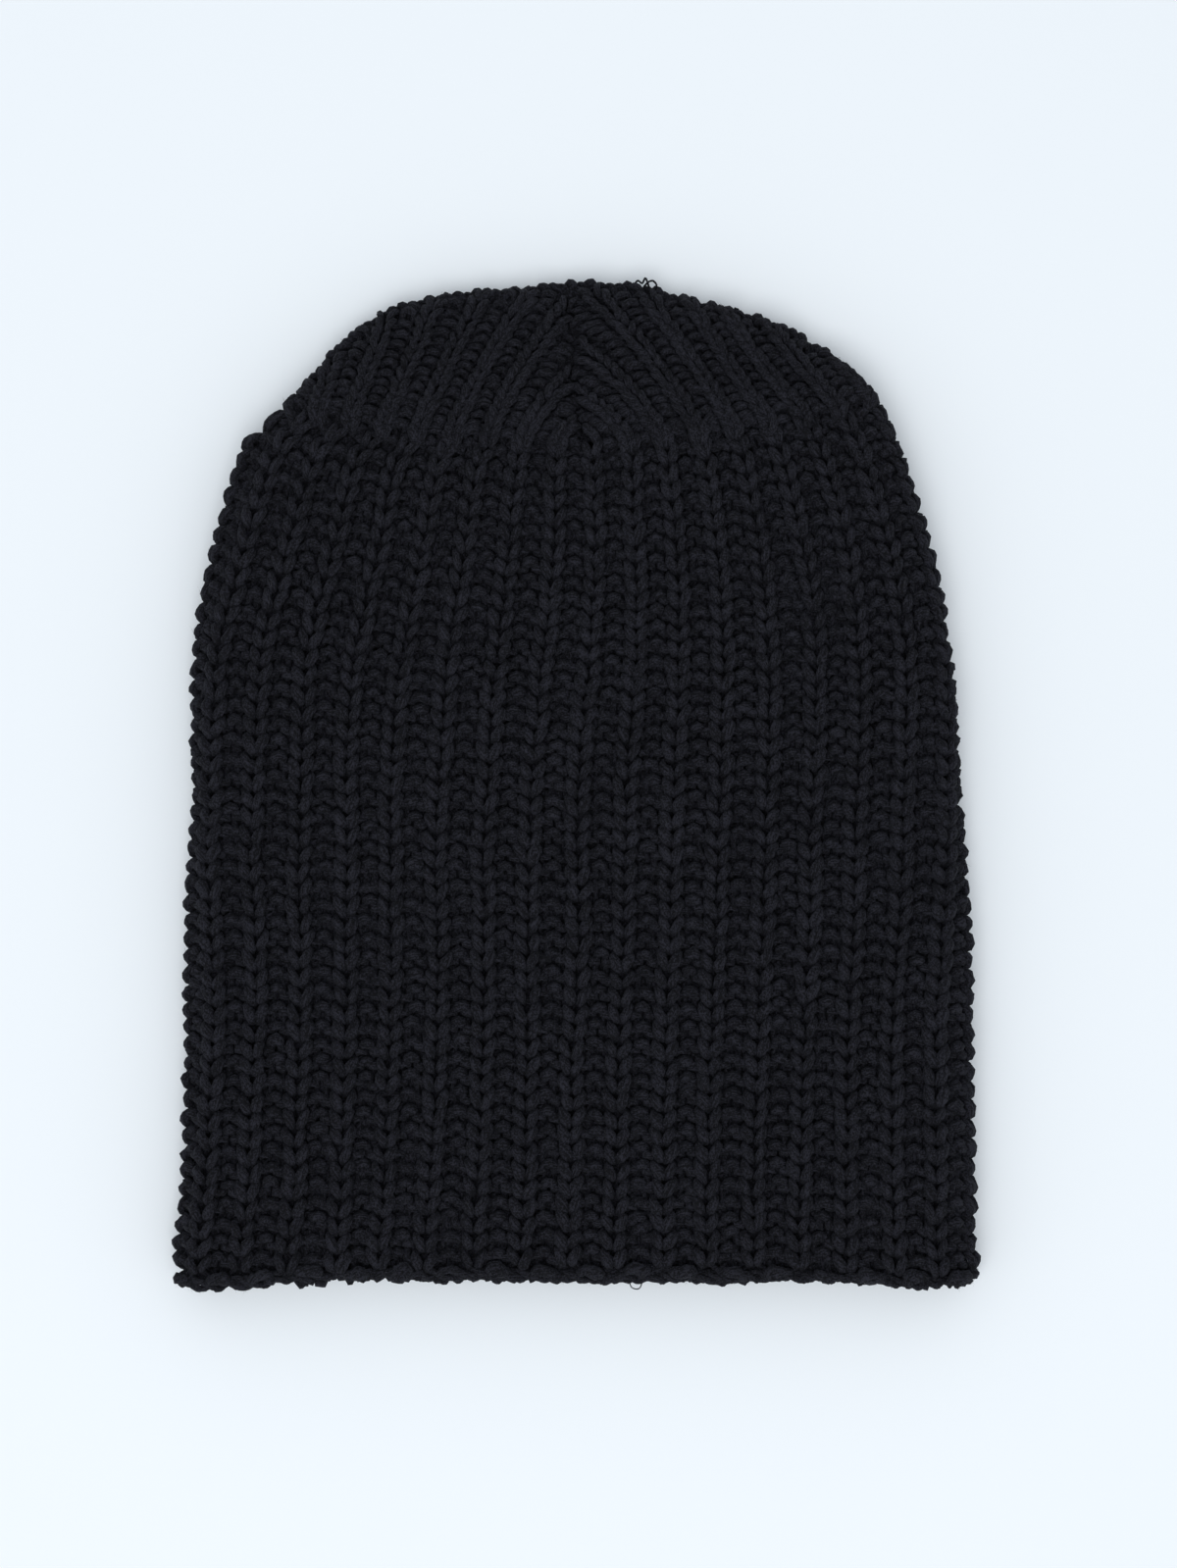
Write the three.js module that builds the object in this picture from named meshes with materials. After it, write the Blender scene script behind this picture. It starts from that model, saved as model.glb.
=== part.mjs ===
import * as THREE from 'three';
import { mergeVertices } from 'three/addons/utils/BufferGeometryUtils.js';

// A chunky ribbed knit beanie that lies flat and empty, in millimetres.
// X runs across the hat, Y from the hem to the crown's tip, and Z up from the surface that it lies on.
// Every wall is a thick sheet round one middle surface: a front and a back plate, one above the other,
// that round over into each other along the outline.

// Ribs: one rib is a raised knit column and the sunk purl column beside it
const ribCount = 36;
const ribsToFold = ribCount / 4; // from the middle of the front to the fold at either side
const columnsPerRib = 4;
const foldSqueeze = 0.03; // how much less room the ribs have at the folds than at the middle

// Walls: ribHeight is how far the ribs stand out past the wall's mean face, and sink on the other side
const bodyWall = { thickness: 4.9, ribHeight: 0.65 };
const crownWall = { thickness: 3.3, ribHeight: 0.6 };
const gap = 0.3; // between neighbouring pieces

// The outline seen from above, up both sides of the body
const sideTable = [
  { y: -140.0, left: -109.0, right: 109.8 },
  { y: -133.0, left: -110.4, right: 111.0 },
  { y: -124.0, left: -110.0, right: 110.0 },
  { y: -108.0, left: -108.7, right: 110.4 },
  { y: -76.0, left: -108.0, right: 109.9 },
  { y: -43.0, left: -108.0, right: 109.6 },
  { y: -20.0, left: -107.4, right: 108.2 },
  { y: -4.0, left: -105.9, right: 107.0 },
  { y: 20.0, left: -106.4, right: 106.6 },
  { y: 38.0, left: -106.0, right: 104.4 },
  { y: 54.0, left: -103.5, right: 101.7 },
  { y: 70.0, left: -99.9, right: 98.0 },
  { y: 82.0, left: -96.5, right: 94.2 },
  { y: 91.0, left: -93.5, right: 91.4 },
  { y: 97.0, left: -90.2, right: 89.2 },
  { y: 100.4, left: -85.8, right: 87.6 },
];

// The outline over the crown, from the left end of the crown line to its right end
const crownTable = [
  { x: -81.2, y: 103.4 },
  { x: -77.4, y: 107.2 },
  { x: -72.4, y: 113.4 },
  { x: -67.1, y: 119.9 },
  { x: -61.5, y: 125.5 },
  { x: -54.0, y: 130.4 },
  { x: -46.0, y: 133.6 },
  { x: -36.0, y: 136.0 },
  { x: -25.0, y: 137.0 },
  { x: -13.0, y: 138.0 },
  { x: -1.0, y: 139.3 },
  { x: 9.0, y: 139.2 },
  { x: 18.0, y: 138.4 },
  { x: 28.0, y: 135.8 },
  { x: 40.0, y: 133.0 },
  { x: 51.0, y: 129.6 },
  { x: 61.0, y: 125.2 },
  { x: 70.0, y: 119.3 },
  { x: 77.5, y: 113.4 },
  { x: 82.4, y: 107.8 },
  { x: 84.3, y: 105.6 },
];
const samplesPerStep = 4; // points that the smooth outline has between two rows of a table

// Half the distance between the front and the back plate, at heights up the hat
const loftTable = [
  { y: -140, half: 6.6 },
  { y: -100, half: 6.4 },
  { y: 20, half: 6.4 },
  { y: 60, half: 6.9 },
  { y: 84, half: 7.8 },
  { y: 96, half: 7.6 },
  { y: 108, half: 6.6 },
  { y: 124, half: 5.8 },
  { y: 140, half: 5.0 },
];

// The seam between the front gores, and the same one behind
const seamTable = [
  { y: 90, x: 0.9 },
  { y: 100, x: 0.9 },
  { y: 108, x: -0.4 },
  { y: 126, x: -0.9 },
  { y: 142, x: -3.6 },
];
const seamGroove = { depth: 1.3, halfWidth: 3.2 };

// How far each gore's ribs lean towards the seam, in degrees, counted in ribs from the seam to the fold
const leanTable = [
  { rib: 0, left: 44, right: 46 },
  { rib: 1, left: 41, right: 46 },
  { rib: 2, left: 33, right: 45 },
  { rib: 3, left: 28, right: 39 },
  { rib: 4, left: 27, right: 33 },
  { rib: 5, left: 23, right: 32 },
  { rib: 6, left: 20, right: 35 },
  { rib: 7, left: 18, right: 40 },
  { rib: 9, left: 18, right: 42 },
];

// Ends of the body: at the middle of the front, and how much higher at the folds
const hem = { y: -134.4, middleX: 0.4, foldRise: 2.2 };
const crownLine = { y: 93.6, middleX: 0.9 };
const crownLineEnd = { left: 103.4, right: 105.6 };
const bodyRises = [0, 0.1, 0.34, 0.56, 0.74, 0.85, 0.91, 0.95, 0.98, 1];
const crownRise = 1 + gap / (crownLine.y - hem.y); // where the gores start, just past the body's end
const goreSteps = [0, 0.3, 0.58, 0.78, 0.91, 0.98, 1];

// The front sinks a little between its folds, as slack knitting does
const frontSag = { depth: 0.8, from: -120, to: 70 };

// Hem edge: its section, as how far out from the wall's middle and how far below the body
const hemSection = [
  { out: -2.2, down: 0 },
  { out: 2.2, down: 0 },
  { out: 2.1, down: 2.1 },
  { out: 0, down: 3.6 },
  { out: -2.1, down: 2.1 },
];
const hemScallop = 0.35; // how much further down the edge hangs under a raised column

const lerp = (from, to, share) => from + (to - from) * share;

function smoothstep(from, to, value) {
  const share = Math.min(Math.max((value - from) / (to - from), 0), 1);
  return share * share * (3 - 2 * share);
}

// A table's column at a place between its rows, in a straight line from row to row
function readTable(table, along, column, place) {
  const last = table.length - 1;
  if (place <= table[0][along]) return table[0][column];
  if (place >= table[last][along]) return table[last][column];
  const next = table.findIndex((row) => row[along] > place);
  const [low, high] = [table[next - 1], table[next]];
  return lerp(low[column], high[column], (place - low[along]) / (high[along] - low[along]));
}

const loftAt = (y) => readTable(loftTable, 'y', 'half', y);
const seamAt = (y) => readTable(seamTable, 'y', 'x', y);

// How far a rib's crest stands from the middle surface, in each kind of wall
const crestOf = (wall) => wall.thickness / 2 + wall.ribHeight;
const crownBlend = (y) => smoothstep(105.6, 117, y);
const restAt = (y) => lerp(crestOf(bodyWall), crestOf(crownWall), crownBlend(y));

// The middle surface's outline: the hat's own outline, moved in by the crest's height
function makeMiddleOutline() {
  const leftSide = sideTable.map((row) => new THREE.Vector2(row.left, row.y));
  const top = crownTable.map((row) => new THREE.Vector2(row.x, row.y));
  const rightSide = sideTable.map((row) => new THREE.Vector2(row.right, row.y)).reverse();
  const knots = [...leftSide, ...top, ...rightSide];
  const outer = new THREE.SplineCurve(knots).getPoints((knots.length - 1) * samplesPerStep);
  const normals = outer.map((point, i) => {
    const before = outer[Math.max(i - 1, 0)];
    const after = outer[Math.min(i + 1, outer.length - 1)];
    const along = after.clone().sub(before).normalize();
    return new THREE.Vector2(-along.y, along.x);
  });
  const points = outer.map((point, i) => {
    const inset = lerp(crestOf(bodyWall), crestOf(crownWall), smoothstep(97, 107, point.y));
    return point.clone().addScaledVector(normals[i], -inset);
  });
  const topStart = leftSide.length * samplesPerStep;
  const topEnd = topStart + (top.length - 1) * samplesPerStep;
  const tip = points.reduce((best, point, i) => (point.y > points[best].y ? i : best), 0);
  return { points, normals, topStart, topEnd, tip };
}

const outline = makeMiddleOutline();

// Nearest place on the middle outline: its distance, and the way out there
function nearestEdge(x, y) {
  const best = { distance: Infinity, outX: 0, outY: 0 };
  for (let i = 0; i + 1 < outline.points.length; i += 1) {
    const [a, b] = [outline.points[i], outline.points[i + 1]];
    const [dx, dy] = [b.x - a.x, b.y - a.y];
    const share = Math.min(Math.max(((x - a.x) * dx + (y - a.y) * dy) / (dx * dx + dy * dy), 0), 1);
    const distance = Math.hypot(x - a.x - share * dx, y - a.y - share * dy);
    if (distance < best.distance) {
      const way = outline.normals[i].clone().lerp(outline.normals[i + 1], share).normalize();
      Object.assign(best, { distance, outX: way.x, outY: way.y });
    }
  }
  return best;
}

// The middle outline's x at a height on one side of the body, and its y at an x over the crown
function sideX(side, y) {
  const { points, tip } = outline;
  const run = side < 0 ? points.slice(0, tip + 1) : points.slice(tip).reverse();
  const next = Math.max(run.findIndex((point) => point.y > y), 1);
  const [low, high] = [run[next - 1], run[next]];
  return lerp(low.x, high.x, (y - low.y) / (high.y - low.y));
}

function topY(x) {
  const run = outline.points.slice(outline.topStart, outline.topEnd + 1);
  if (x <= run[0].x || x >= run[run.length - 1].x) return -Infinity;
  const next = run.findIndex((point) => point.x > x);
  const [low, high] = [run[next - 1], run[next]];
  return lerp(low.y, high.y, (x - low.x) / (high.x - low.x));
}

// The front's relief below a plain flat plate: its sag, and the groove of the seam
function reliefAt(x, y, face) {
  const groove = Math.exp(-(((x - seamAt(y)) / seamGroove.halfWidth) ** 2)) * smoothstep(91, 100, y);
  const span = smoothstep(frontSag.from, frontSag.from + 30, y) * (1 - smoothstep(frontSag.to - 40, frontSag.to, y));
  const sag = face > 0 ? frontSag.depth * span * Math.max(1 - (x / 90) ** 2, 0) : 0;
  return seamGroove.depth * groove + sag;
}

// A point of the middle surface and the way out there: a plate at half the loft, with a round edge
function plate(x, y, face, edgeGap = 0) {
  const half = loftAt(y);
  const edge = nearestEdge(x, y);
  const lean = Math.max(1 - edge.distance / half, 0);
  const up = Math.sqrt(1 - lean * lean);
  const height = (half - reliefAt(x, y, face)) * up + edgeGap * (1 - up);
  return {
    point: new THREE.Vector3(x, y, half + restAt(y) + face * height),
    out: new THREE.Vector3(lean * edge.outX, lean * edge.outY, face * up),
  };
}

// Where a rib crosses a row of the body, seen from above. Ribs are counted from the middle, below 0 on the left
function bodyPlan(rib, rise) {
  const side = rib < 0 ? -1 : 1;
  const share = Math.abs(rib) / ribsToFold;
  const middleX = lerp(hem.middleX, crownLine.middleX, rise);
  const middleY = lerp(hem.y, crownLine.y, rise);
  const foldTop = side < 0 ? crownLineEnd.left : crownLineEnd.right;
  const foldY = lerp(hem.y + hem.foldRise, foldTop, rise);
  const reach = Math.abs(sideX(side, foldY) - middleX);
  const half = loftAt(foldY);
  const flat = reach - half;
  const along = (share * (1 + foldSqueeze) - foldSqueeze * share ** 8) * (flat + half * Math.PI / 2);
  const across = along <= flat ? along : flat + half * Math.sin((along - flat) / half);
  return { x: middleX + side * across, y: lerp(middleY, foldY, (across / reach) ** 2) };
}

// The height of a rib's profile: 1 over the raised column, -1 over the sunk one
function ribShape(rib) {
  const fromCrest = Math.abs(rib - Math.round(rib));
  return Math.min(Math.max((0.25 - fromCrest) * 8, -1), 1);
}

// The wall's outer and inner point over one point of the middle surface
function wallPoints(middle, wall, rib) {
  const shift = wall.ribHeight * ribShape(rib);
  return {
    outer: middle.point.clone().addScaledVector(middle.out, shift + wall.thickness / 2),
    inner: middle.point.clone().addScaledVector(middle.out, shift - wall.thickness / 2),
  };
}

// One closed body from loops of points that are joined loop to loop, and the last to the first where it is a ring
function closedBody(loops, ring) {
  const positions = loops.flat().flatMap((point) => point.toArray());
  const size = loops[0].length;
  const corner = (i, j) => (i % loops.length) * size + (j % size);
  const faces = [];
  const spans = ring ? loops.length : loops.length - 1;
  for (let i = 0; i < spans; i += 1) {
    for (let j = 0; j < size; j += 1) {
      faces.push([corner(i, j), corner(i + 1, j), corner(i + 1, j + 1)]);
      faces.push([corner(i, j), corner(i + 1, j + 1), corner(i, j + 1)]);
    }
  }
  const rough = new THREE.BufferGeometry();
  rough.setAttribute('position', new THREE.Float32BufferAttribute(positions, 3));
  rough.setIndex(faces.flat());
  return tidyBody(mergeVertices(rough, 1e-4));
}

// Drops the faces that have no area, and turns the rest to face out
function tidyBody(geometry) {
  const position = geometry.getAttribute('position');
  const index = [...geometry.getIndex().array];
  const kept = [];
  let volume = 0;
  for (let i = 0; i < index.length; i += 3) {
    const [a, b, c] = index.slice(i, i + 3);
    if (a !== b && b !== c && c !== a) {
      const [pa, pb, pc] = [a, b, c].map((corner) => new THREE.Vector3().fromBufferAttribute(position, corner));
      volume += pa.dot(pb.cross(pc));
      kept.push([a, b, c]);
    }
  }
  geometry.setIndex(kept.flatMap(([a, b, c]) => (volume > 0 ? [a, b, c] : [a, c, b])));
  geometry.computeVertexNormals();
  return geometry;
}

// Rib numbers go on round the hat: those past a fold lie on the back, counted from its middle
function foldedRib(rib) {
  const wrapped = rib > ribCount / 2 ? rib - ribCount : rib;
  if (Math.abs(wrapped) <= ribsToFold) return { across: wrapped, face: 1 };
  return { across: Math.sign(wrapped) * (ribCount / 2 - Math.abs(wrapped)), face: -1 };
}

const ringRibs = Array.from({ length: ribCount * columnsPerRib }, (_, i) => (i + 0.5) / columnsPerRib);

function makeBody() {
  const loops = ringRibs.map((rib) => {
    const { across, face } = foldedRib(rib);
    const rows = bodyRises.map((rise) => {
      const { x, y } = bodyPlan(across, rise);
      return wallPoints(plate(x, y, face), bodyWall, rib);
    });
    return [...rows.map((row) => row.outer), ...rows.map((row) => row.inner).reverse()];
  });
  return closedBody(loops, true);
}

function makeHemEdge() {
  const loops = ringRibs.map((rib) => {
    const { across, face } = foldedRib(rib);
    const { x, y } = bodyPlan(across, 0);
    const middle = plate(x, y, face);
    const shift = bodyWall.ribHeight * ribShape(rib);
    return hemSection.map(({ out, down }) => {
      const drop = gap + down * (1 + hemScallop * ribShape(rib) / 3.6);
      return middle.point.clone().addScaledVector(middle.out, shift + out).add(new THREE.Vector3(0, -drop, 0));
    });
  });
  return closedBody(loops, true);
}

// Where a gore's rib starts on the crown line, its way up, and how long it runs before a seam ends it
function goreRib(side, rib) {
  const start = bodyPlan(side * rib, crownRise);
  const startX = start.x + side * gap / 2 * (1 - rib / ribsToFold);
  const lean = THREE.MathUtils.degToRad(readTable(leanTable, 'rib', side < 0 ? 'left' : 'right', rib));
  const way = { x: -side * Math.sin(lean), y: Math.cos(lean) };
  const at = (length) => ({ x: startX + way.x * length, y: start.y + way.y * length });
  const pastSeam = ({ x, y }) => side * (x - seamAt(y)) < gap / 2;
  const pastTop = ({ x, y }) => y > topY(x);
  let [low, high] = [0, 0];
  while (!pastSeam(at(high)) && !pastTop(at(high))) high += 0.5;
  low = Math.max(high - 0.5, 0);
  for (let i = 0; i < 30; i += 1) {
    const middle = (low + high) / 2;
    if (pastSeam(at(middle)) || pastTop(at(middle))) high = middle;
    else low = middle;
  }
  return { at, length: low, endsOnSeam: pastSeam(at(high)) };
}

// The rib that runs right up to the tip, between those that the seam ends and those that the outline ends
function tipRib(side) {
  let [low, high] = [0.5, ribsToFold - 1];
  for (let i = 0; i < 30; i += 1) {
    const middle = (low + high) / 2;
    if (goreRib(side, middle).endsOnSeam) low = middle;
    else high = middle;
  }
  return high;
}

function makeGore(side, face) {
  const inside = [...ringRibs, tipRib(side)].filter((rib) => rib < ribsToFold && goreRib(side, rib).length > gap);
  const ribs = [0, ...inside, ribsToFold].sort((a, b) => a - b);
  const loops = ribs.map((rib, i) => {
    const { at, length } = goreRib(side, rib);
    const run = i === 0 || i === ribs.length - 1 ? 0 : length; // the gore is pointed at both ends
    const rows = goreSteps.map((step) => {
      const { x, y } = at(run * step);
      return wallPoints(plate(x, y, face, gap / 2), crownWall, rib);
    });
    return [...rows.map((row) => row.outer), ...rows.map((row) => row.inner).reverse()];
  });
  return closedBody(loops, false);
}

const bodyYarn = { color: 0x17181b, roughness: 0.95, metalness: 0 };
const crownYarn = { color: 0x141518, roughness: 0.95, metalness: 0 };

function makeMesh(name, geometry, yarn) {
  const mesh = new THREE.Mesh(geometry, new THREE.MeshStandardMaterial(yarn));
  mesh.name = name;
  return mesh;
}

const beanie = new THREE.Group();
beanie.add(makeMesh('body', makeBody(), bodyYarn));
beanie.add(makeMesh('hem_edge', makeHemEdge(), bodyYarn));
beanie.add(makeMesh('crown_front_left', makeGore(-1, 1), crownYarn));
beanie.add(makeMesh('crown_front_right', makeGore(1, 1), crownYarn));
beanie.add(makeMesh('crown_back_left', makeGore(-1, -1), crownYarn));
beanie.add(makeMesh('crown_back_right', makeGore(1, -1), crownYarn));

// The origin is under the middle of the hat, on the surface that it lies on
const bounds = new THREE.Box3().setFromObject(beanie);
const middle = bounds.getCenter(new THREE.Vector3());
beanie.position.set(-middle.x, -middle.y, -bounds.min.z);

export default beanie;
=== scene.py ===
import math
import time

import bpy
import numpy as np
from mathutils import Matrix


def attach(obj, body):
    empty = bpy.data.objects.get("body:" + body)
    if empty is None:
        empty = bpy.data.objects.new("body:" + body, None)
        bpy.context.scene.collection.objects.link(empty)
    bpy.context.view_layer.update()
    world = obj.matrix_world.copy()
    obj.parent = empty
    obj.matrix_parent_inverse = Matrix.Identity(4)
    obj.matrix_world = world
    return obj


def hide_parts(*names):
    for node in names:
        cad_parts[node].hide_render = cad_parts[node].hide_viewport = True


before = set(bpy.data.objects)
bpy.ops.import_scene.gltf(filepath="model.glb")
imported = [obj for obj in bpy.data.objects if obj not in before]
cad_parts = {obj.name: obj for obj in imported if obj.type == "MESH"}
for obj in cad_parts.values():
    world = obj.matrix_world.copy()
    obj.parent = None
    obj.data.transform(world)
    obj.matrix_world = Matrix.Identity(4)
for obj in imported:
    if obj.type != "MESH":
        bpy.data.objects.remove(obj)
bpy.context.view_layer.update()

# A chunky ribbed beanie that lies flat, stitch by stitch. Lengths are millimetres until a mesh is made.
started = time.time()
mm = 0.001


def report(stage):
    # the seconds since the start
    print(f"{stage}: {time.time() - started:.1f} s")


# The hat's form: the outline, loft and seams of its solid pieces. Its outline flares up to 0.8 mm more than
# theirs at the corners of the hem.
hat = {
    "ribCount": 36,
    "rows": 48,               # stitches from the hem to the crown line
    "foldSqueeze": 0.03,      # how much less room the ribs have at the folds
    "squeezePower": 8,        # the larger, the closer to the folds they are squeezed
    "bodyCrest": 3.1,         # from the wall's middle to the top of a rib
    "crownCrest": 2.25,
    "crestSpan": (97, 107),   # where the outline's crest goes from the body's height to the crown's
    "restSpan": (105.6, 117),  # and where the underside's crest does
    "outlineSteps": 4,        # between two points of the tables
    "gap": 0.3,               # between the front gores and the back gores
    "rest": 0.05,             # how high the flattened underside lies
    "shift": (-0.263, -0.295),  # from the tables' middle to the middle of the outline
    "hemY": -134.4, "hemX": 0.4, "hemFoldRise": 2.2,
    "crownY": 93.6, "crownX": 0.9, "crownLeftY": 103.4, "crownRightY": 105.6,
    "grooveDepth": 1.3, "grooveWidth": 3.2, "grooveSpan": (91, 100),
    "sagDepth": 0.8, "sagReach": 90, "sagBegins": (-120.0, -90.0), "sagEnds": (30.0, 70.0),
}
ribsToFold = hat["ribCount"] // 4

# the outline: its left and right edge by y, and points along the crown
sideTable = {
    "y": [-140, -133, -124, -108, -76, -43, -20, -4, 20, 38, 54, 70, 82, 91, 97, 100.4],
    "left": [-109.8, -111.2, -110.6, -108.9, -108, -108, -107.4, -105.9, -106.4, -106, -103.5, -99.9,
             -96.5, -93.5, -90.2, -85.8],
    "right": [110.4, 111.7, 110.8, 110.5, 109.9, 109.6, 108.2, 107, 106.6, 104.4, 101.7, 98,
              94.2, 91.4, 89.2, 87.6],
}
crownTable = {
    "x": [-81.2, -77.4, -72.4, -67.1, -61.5, -54, -46, -36, -25, -13, -1,
          9, 18, 28, 40, 51, 61, 70, 77.5, 82.4, 84.3],
    "y": [103.4, 107.2, 113.4, 119.9, 125.5, 130.4, 133.6, 136, 137, 138, 139.3,
          139.2, 138.4, 135.8, 133, 129.6, 125.2, 119.3, 113.4, 107.8, 105.6],
}
# half the distance between the middles of the two walls, by y
loftTable = {
    "y": [-140, -100, 20, 60, 84, 96, 108, 124, 140],
    "half": [6.6, 6.4, 6.4, 6.9, 7.8, 7.6, 6.6, 5.8, 5.0],
}
# the front seam's x, by y
seamTable = {"y": [90, 100, 108, 126, 142], "x": [0.9, 0.9, -0.4, -0.9, -3.6]}
# how many degrees a gore's ribs lean towards the seam, by how many ribs from it they start
leanTable = {
    "rib": [0, 1, 2, 3, 4, 5, 6, 7, 9],
    "left": [44, 41, 33, 28, 27, 23, 20, 18, 18],
    "right": [46, 46, 45, 39, 33, 32, 35, 40, 42],
}


def unit(vectors, least=1e-9):
    # each vector divided by its length
    return vectors / np.maximum(np.linalg.norm(vectors, axis=-1, keepdims=True), least)


def ramp(low, high, value):
    # smooth step: 3t^2 - 2t^3 of the share of the way from low to high
    share = np.clip((value - low) / (high - low), 0, 1)
    return share * share * (3 - 2 * share)


def smoothCurve(knots, steps):
    # Catmull-Rom: each span is the cubic that leaves and arrives along the chords of its neighbours
    around = np.vstack([knots[:1], knots, knots[-1:]])
    a, b, c, d = (around[i:len(around) - 3 + i, None] for i in range(4))
    t = (np.arange(steps) / steps)[None, :, None]
    out, back = (c - a) / 2, (d - b) / 2
    spans = (2 * b - 2 * c + out + back) * t**3 + (3 * c - 3 * b - 2 * out - back) * t**2 + out * t + b
    return np.vstack([spans.reshape(-1, knots.shape[1]), knots[-1:]])


def middleOutline():
    # the outline's points moved in by the crest's height along the outline's own normals
    left = np.column_stack([sideTable["left"], sideTable["y"]])
    right = np.column_stack([sideTable["right"], sideTable["y"]])[::-1]
    top = np.column_stack([crownTable["x"], crownTable["y"]])
    steps = hat["outlineSteps"]
    outer = smoothCurve(np.vstack([left, top, right]), steps)
    along = unit(np.gradient(outer, axis=0))
    normals = np.column_stack([-along[:, 1], along[:, 0]])
    share = ramp(*hat["crestSpan"], outer[:, 1])
    inset = hat["bodyCrest"] + (hat["crownCrest"] - hat["bodyCrest"]) * share
    points = outer - normals * inset[:, None]
    tip = int(np.argmax(points[:, 1]))
    start, end = len(left) * steps, (len(left) + len(top) - 1) * steps
    return {"points": points, "normals": normals, "top": points[start:end + 1],
            "left": points[:tip + 1], "right": points[tip:][::-1]}


outline = middleOutline()
batch = 8000    # how many points are compared with the outline at a time
tiny = 1e-6     # instead of 0, where a 0 has no side or can't be divided by


def nearestEdge(x, y):
    # the shortest distance to the outline's straight steps, and the outline's way out there
    first, step = outline["points"][:-1], np.diff(outline["points"], axis=0)
    length2 = (step**2).sum(1)
    distance, out = np.empty(x.size), np.empty((x.size, 2))
    for part in np.array_split(np.arange(x.size), max(1, x.size // batch)):
        away = np.stack([x[part], y[part]], 1)[:, None] - first[None]
        share = np.clip((away * step).sum(2) / length2, 0, 1)
        far = np.linalg.norm(away - share[..., None] * step, axis=2)
        best = far.argmin(1)
        rows = np.arange(len(part))
        distance[part] = far[rows, best]
        mix = share[rows, best][:, None]
        out[part] = outline["normals"][best] * (1 - mix) + outline["normals"][best + 1] * mix
    return distance, unit(out)


def plate(x, y, face, edgeGap=0.0):
    # the wall's middle: a plate at half the loft that turns down over a round edge as wide as it is high,
    # with a bell-shaped groove along the seam, and on the front a sag by the square of the way out
    half = np.interp(y, loftTable["y"], loftTable["half"])
    distance, way = nearestEdge(x, y)
    lean = np.clip(1 - distance / half, 0, 1)
    up = np.sqrt(1 - lean * lean)
    seam = (x - np.interp(y, seamTable["y"], seamTable["x"])) / hat["grooveWidth"]
    groove = hat["grooveDepth"] * np.exp(-seam**2) * ramp(*hat["grooveSpan"], y)
    span = ramp(*hat["sagBegins"], y) * (1 - ramp(*hat["sagEnds"], y))
    sag = hat["sagDepth"] * span * np.clip(1 - (x / hat["sagReach"])**2, 0, 1)
    relief = groove + np.where(face > 0, sag, 0)
    rest = hat["bodyCrest"] + (hat["crownCrest"] - hat["bodyCrest"]) * ramp(*hat["restSpan"], y)
    z = half + rest + face * ((half - relief) * up + edgeGap * (1 - up))
    return np.stack([x, y, z], 1), np.stack([lean * way[:, 0], lean * way[:, 1], face * up], 1)


def sideX(side, y):
    # the outline's x on the left or the right, at a height
    left, right = outline["left"], outline["right"]
    return np.where(side < 0, np.interp(y, left[:, 1], left[:, 0]), np.interp(y, right[:, 1], right[:, 0]))


def bodyPlan(rib, rise):
    # along the wall's half girth: straight over the flat, then a quarter turn at the fold
    side = np.where(rib < 0, -1, 1)
    share = np.abs(rib) / ribsToFold
    middleX = hat["hemX"] + (hat["crownX"] - hat["hemX"]) * rise
    middleY = hat["hemY"] + (hat["crownY"] - hat["hemY"]) * rise
    foldTop = np.where(side < 0, hat["crownLeftY"], hat["crownRightY"])
    foldY = hat["hemY"] + hat["hemFoldRise"] + (foldTop - hat["hemY"] - hat["hemFoldRise"]) * rise
    reach = np.abs(sideX(side, foldY) - middleX)
    half = np.interp(foldY, loftTable["y"], loftTable["half"])
    flat = reach - half
    squeeze = hat["foldSqueeze"]
    run = (share * (1 + squeeze) - squeeze * share**hat["squeezePower"]) * (flat + half * math.pi / 2)
    turn = np.clip((run - flat) / half, 0, math.pi / 2)
    across = np.where(run <= flat, run, flat + half * np.sin(turn))
    return middleX + side * across, middleY + (foldY - middleY) * (across / reach)**2


# How the worn fabric has shifted on the front: across in ribs to the right, up in rows
worn = {
    "lastRib": 8,             # where the front's shift ends, and the back's begins
    "hemLeft": 0.2,           # the hem has gone this far to the left
    "crownRight": 0.4,        # and the crown line this far to the right
    "spread": 0.35,           # how far the ribs at the sides are pulled apart above the middle
    "leftSag": 0.7,           # how far the left side hangs down
    "hemDroop": 0.7,          # how far the hem's right corner does
    "middleRise": 0.2,        # how far the middle is pushed up
    "middleDip": 0.55,        # how far it dips under the front seam, and how many ribs the dip is wide
    "dipWidth": 2.5,
    "crownLift": 0.25,        # how far the crown line is pushed up
}
# where on the way up from the hem, as shares of it, each of these sets in or fades out
wornSpans = {
    "hemLeft": (0, 0.5), "crownRight": (0.5, 0.9), "spreadFoot": (0.3, 0.6), "spreadTop": (0.7, 1),
    "leftSag": (0.6, 1), "hemDroop": (0, 0.4), "middleRise": (0.6, 0.8), "middleDip": (0.65, 0.9),
    "crownLift": (0.7, 1),
}


def begins(key, rise):
    # a smooth step from 0 to 1 over the span of that name
    return ramp(*wornSpans[key], rise)


def fades(key, rise):
    # and from 1 to 0
    return 1 - begins(key, rise)


def onRound(rib):
    # any rib number as one from minus to plus half the rib count, counted from the front's middle
    half = hat["ribCount"] / 2
    return (rib + half) % hat["ribCount"] - half


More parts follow.
